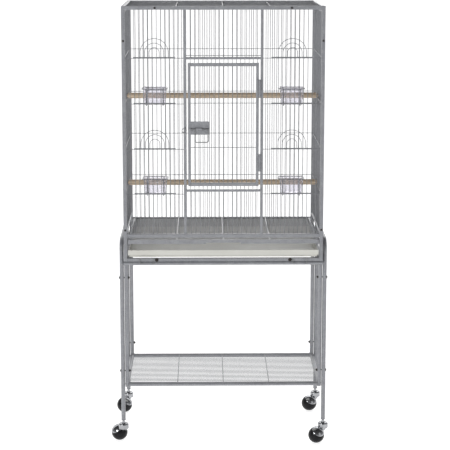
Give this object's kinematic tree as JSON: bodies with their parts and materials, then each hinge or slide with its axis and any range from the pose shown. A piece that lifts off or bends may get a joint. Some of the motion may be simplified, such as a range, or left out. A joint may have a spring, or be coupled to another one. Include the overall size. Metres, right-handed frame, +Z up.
{
  "type": "bird cage on stand",
  "caption": "Tall wire bird cage on a wheeled tube stand, with a hinged front door, lifting feeder doors, cups, perches, a slide-out grate and tray, and a lower shelf.",
  "frame": {"origin": "on the floor under the middle of the whole outline, casters included", "axes": "+Z up, +X to the right seen from the front, the door side faces -Y"},
  "size_m": [0.8132, 0.4708, 1.625],
  "materials": {
    "frame_paint": "hammered grey paint, semi-gloss",
    "wire_paint": "hammered grey paint, semi-gloss",
    "dark_screws": "dark brown, satin",
    "bright_wire": "zinc plated",
    "perch_wood": "smooth turned dowel",
    "cup_plastic": "milky, glossy",
    "tray_plastic": "cream, satin",
    "caster_chrome": "polished",
    "black_plastic": "black, glossy"
  },
  "bodies": {
    "cage": {"front_frame": "frame_paint", "back_frame": "frame_paint", "post_caps": "frame_paint", "left_frame": "frame_paint", "right_frame": "frame_paint", "top_frame": "frame_paint", "base_frame": "frame_paint", "slide_runners": "frame_paint", "hinge_pins": "frame_paint", "side_legs_left": "frame_paint", "side_legs_right": "frame_paint", "stand_ring": "frame_paint", "inner_legs": "frame_paint", "shelf_frame": "frame_paint", "jamb_eye": "frame_paint", "clip_lugs": "frame_paint", "front_wires": "wire_paint", "back_wires": "wire_paint", "left_wires": "wire_paint", "right_wires": "wire_paint", "top_wires": "wire_paint", "shelf_wires": "wire_paint", "cup_holders": "wire_paint", "panel_screws": "dark_screws", "leg_bolts": "dark_screws", "leg_nuts": "dark_screws", "perches": "perch_wood", "caster_stems": "caster_chrome", "leg_caps": "black_plastic"},
    "main_door": {"main_door_frame": "frame_paint", "main_door_wires": "wire_paint", "door_hinge_leaves": "frame_paint", "latch_plate": "frame_paint"},
    "latch_bolt": {"latch_bolt": "bright_wire"},
    "latch_handle": {"latch_handle": "bright_wire"},
    "grate": {"grate_frame": "frame_paint", "grate_wires": "wire_paint"},
    "tray": {"tray": "tray_plastic"},
    "rail_clip_left": {"rail_clip_left": "bright_wire"},
    "rail_clip_right": {"rail_clip_right": "bright_wire"},
    "feeder_door_upper_left": {"feeder_door_upper_left": "wire_paint", "feeder_arches_upper_left": "wire_paint"},
    "cup_upper_left": {"cup_upper_left": "cup_plastic"},
    "feeder_door_upper_right": {"feeder_door_upper_right": "wire_paint", "feeder_arches_upper_right": "wire_paint"},
    "cup_upper_right": {"cup_upper_right": "cup_plastic"},
    "feeder_door_lower_left": {"feeder_door_lower_left": "wire_paint", "feeder_arches_lower_left": "wire_paint"},
    "cup_lower_left": {"cup_lower_left": "cup_plastic"},
    "feeder_door_lower_right": {"feeder_door_lower_right": "wire_paint", "feeder_arches_lower_right": "wire_paint"},
    "cup_lower_right": {"cup_lower_right": "cup_plastic"},
    "caster_swivel_front_left": {"caster_hood_front_left": "caster_chrome"},
    "caster_ball_front_left": {"caster_ball_front_left": "black_plastic"},
    "caster_swivel_front_right": {"caster_hood_front_right": "caster_chrome"},
    "caster_ball_front_right": {"caster_ball_front_right": "black_plastic"},
    "caster_swivel_rear_left": {"caster_hood_rear_left": "caster_chrome"},
    "caster_ball_rear_left": {"caster_ball_rear_left": "black_plastic"},
    "caster_swivel_rear_right": {"caster_hood_rear_right": "caster_chrome"},
    "caster_ball_rear_right": {"caster_ball_rear_right": "black_plastic"}
  },
  "joints": [
    {"name": "main_door_hinge", "type": "hinge", "parent": "cage", "child": "main_door", "pos_m": [0.14442, -0.22677, 1.2], "axis": [0, 0, 1], "range_deg": [0, 170]},
    {"name": "latch_bolt_slide", "type": "slide", "parent": "main_door", "child": "latch_bolt", "axis": [-1, 0, 0], "range_m": [0, 0.013]},
    {"name": "latch_handle_turn", "type": "hinge", "parent": "latch_bolt", "child": "latch_handle", "pos_m": [-0.06358, -0.22787, 1.186], "axis": [-1, 0, 0], "range_deg": [0, 170]},
    {"name": "grate_slide", "type": "slide", "parent": "cage", "child": "grate", "axis": [0, -1, 0], "range_m": [0, 0.42]},
    {"name": "tray_slide", "type": "slide", "parent": "cage", "child": "tray", "axis": [0, -1, 0], "range_m": [0, 0.42]},
    {"name": "rail_clip_left_turn", "type": "hinge", "parent": "cage", "child": "rail_clip_left", "pos_m": [-0.26458, -0.22657, 0.6924], "axis": [1, 0, 0], "range_deg": [0, 90]},
    {"name": "rail_clip_right_turn", "type": "hinge", "parent": "cage", "child": "rail_clip_right", "pos_m": [0.29342, -0.22657, 0.6924], "axis": [1, 0, 0], "range_deg": [0, 90]},
    {"name": "feeder_door_upper_left_lift", "type": "slide", "parent": "cage", "child": "feeder_door_upper_left", "axis": [0, 0, 1], "range_m": [0, 0.092]},
    {"name": "cup_upper_left_lift", "type": "slide", "parent": "cage", "child": "cup_upper_left", "axis": [0, 0, 1], "range_m": [0, 0.06]},
    {"name": "feeder_door_upper_right_lift", "type": "slide", "parent": "cage", "child": "feeder_door_upper_right", "axis": [0, 0, 1], "range_m": [0, 0.092]},
    {"name": "cup_upper_right_lift", "type": "slide", "parent": "cage", "child": "cup_upper_right", "axis": [0, 0, 1], "range_m": [0, 0.06]},
    {"name": "feeder_door_lower_left_lift", "type": "slide", "parent": "cage", "child": "feeder_door_lower_left", "axis": [0, 0, 1], "range_m": [0, 0.092]},
    {"name": "cup_lower_left_lift", "type": "slide", "parent": "cage", "child": "cup_lower_left", "axis": [0, 0, 1], "range_m": [0, 0.06]},
    {"name": "feeder_door_lower_right_lift", "type": "slide", "parent": "cage", "child": "feeder_door_lower_right", "axis": [0, 0, 1], "range_m": [0, 0.092]},
    {"name": "cup_lower_right_lift", "type": "slide", "parent": "cage", "child": "cup_lower_right", "axis": [0, 0, 1], "range_m": [0, 0.06]},
    {"name": "caster_front_left_swivel", "type": "hinge", "parent": "cage", "child": "caster_swivel_front_left", "pos_m": [-0.35878, -0.18677, 0.064], "axis": [0, 0, 1], "continuous": true},
    {"name": "caster_front_left_spin", "type": "hinge", "parent": "caster_swivel_front_left", "child": "caster_ball_front_left", "pos_m": [-0.37566, -0.16077, 0.03], "axis": [-0.481, -0.3124, 0.8192], "continuous": true},
    {"name": "caster_front_right_swivel", "type": "hinge", "parent": "cage", "child": "caster_swivel_front_right", "pos_m": [0.38762, -0.18677, 0.064], "axis": [0, 0, 1], "continuous": true},
    {"name": "caster_front_right_spin", "type": "hinge", "parent": "caster_swivel_front_right", "child": "caster_ball_front_right", "pos_m": [0.36223, -0.20455, 0.03], "axis": [0.329, -0.4698, 0.8192], "continuous": true},
    {"name": "caster_rear_left_swivel", "type": "hinge", "parent": "cage", "child": "caster_swivel_rear_left", "pos_m": [-0.35878, 0.19623, 0.064], "axis": [0, 0, 1], "continuous": true},
    {"name": "caster_rear_left_spin", "type": "hinge", "parent": "caster_swivel_rear_left", "child": "caster_ball_rear_left", "pos_m": [-0.37381, 0.16912, 0.03], "axis": [0.5017, -0.2781, 0.8192], "continuous": true},
    {"name": "caster_rear_right_swivel", "type": "hinge", "parent": "cage", "child": "caster_swivel_rear_right", "pos_m": [0.38762, 0.19623, 0.064], "axis": [0, 0, 1], "continuous": true},
    {"name": "caster_rear_right_spin", "type": "hinge", "parent": "caster_swivel_rear_right", "child": "caster_ball_rear_right", "pos_m": [0.36254, 0.17801, 0.03], "axis": [0.3371, -0.464, 0.8192], "continuous": true}
  ]
}
